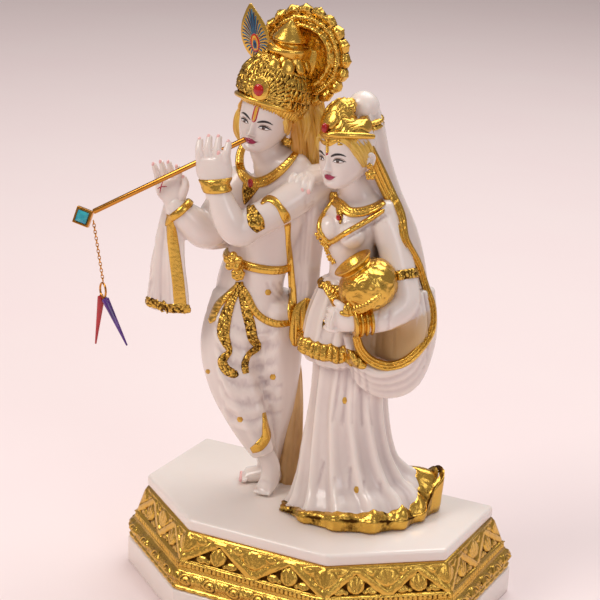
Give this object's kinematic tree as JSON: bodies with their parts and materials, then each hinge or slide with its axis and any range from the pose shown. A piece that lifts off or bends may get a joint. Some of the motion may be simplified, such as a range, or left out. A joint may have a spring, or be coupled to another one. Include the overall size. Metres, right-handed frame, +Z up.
{
  "type": "radha krishna statue",
  "caption": "Two devotional figures, one playing a flute and one holding a pot, standing on a chamfered plinth; a jewelled tassel hangs from the flute.",
  "frame": {"origin": "centre of the plinth's underside", "axes": "+Z up; the long flat front of the plinth faces -Y and the chamfered front corners are at -Y; +X is the viewer's right when facing the front"},
  "size_m": [0.1893, 0.108, 0.2782],
  "materials": {
    "marble_resin": "polished white marble-dust resin with hand-painted features and antiqued gilding on crowns, borders, jewellery and the plinth band",
    "gilt_brass": "bright gold-plated brass",
    "blue_stone": "faceted teal-blue acrylic stone",
    "red_bead": "glossy red resin",
    "purple_bead": "glossy dark purple resin"
  },
  "bodies": {
    "root": {"plinth": "marble_resin", "krishna": "marble_resin", "radha": "marble_resin", "flute": "gilt_brass", "jewel_setting": "gilt_brass", "jewel_stone": "blue_stone", "flute_chain": "gilt_brass", "tassel_ring": "gilt_brass", "red_spike": "red_bead", "purple_spike": "purple_bead"}
  },
  "joints": []
}
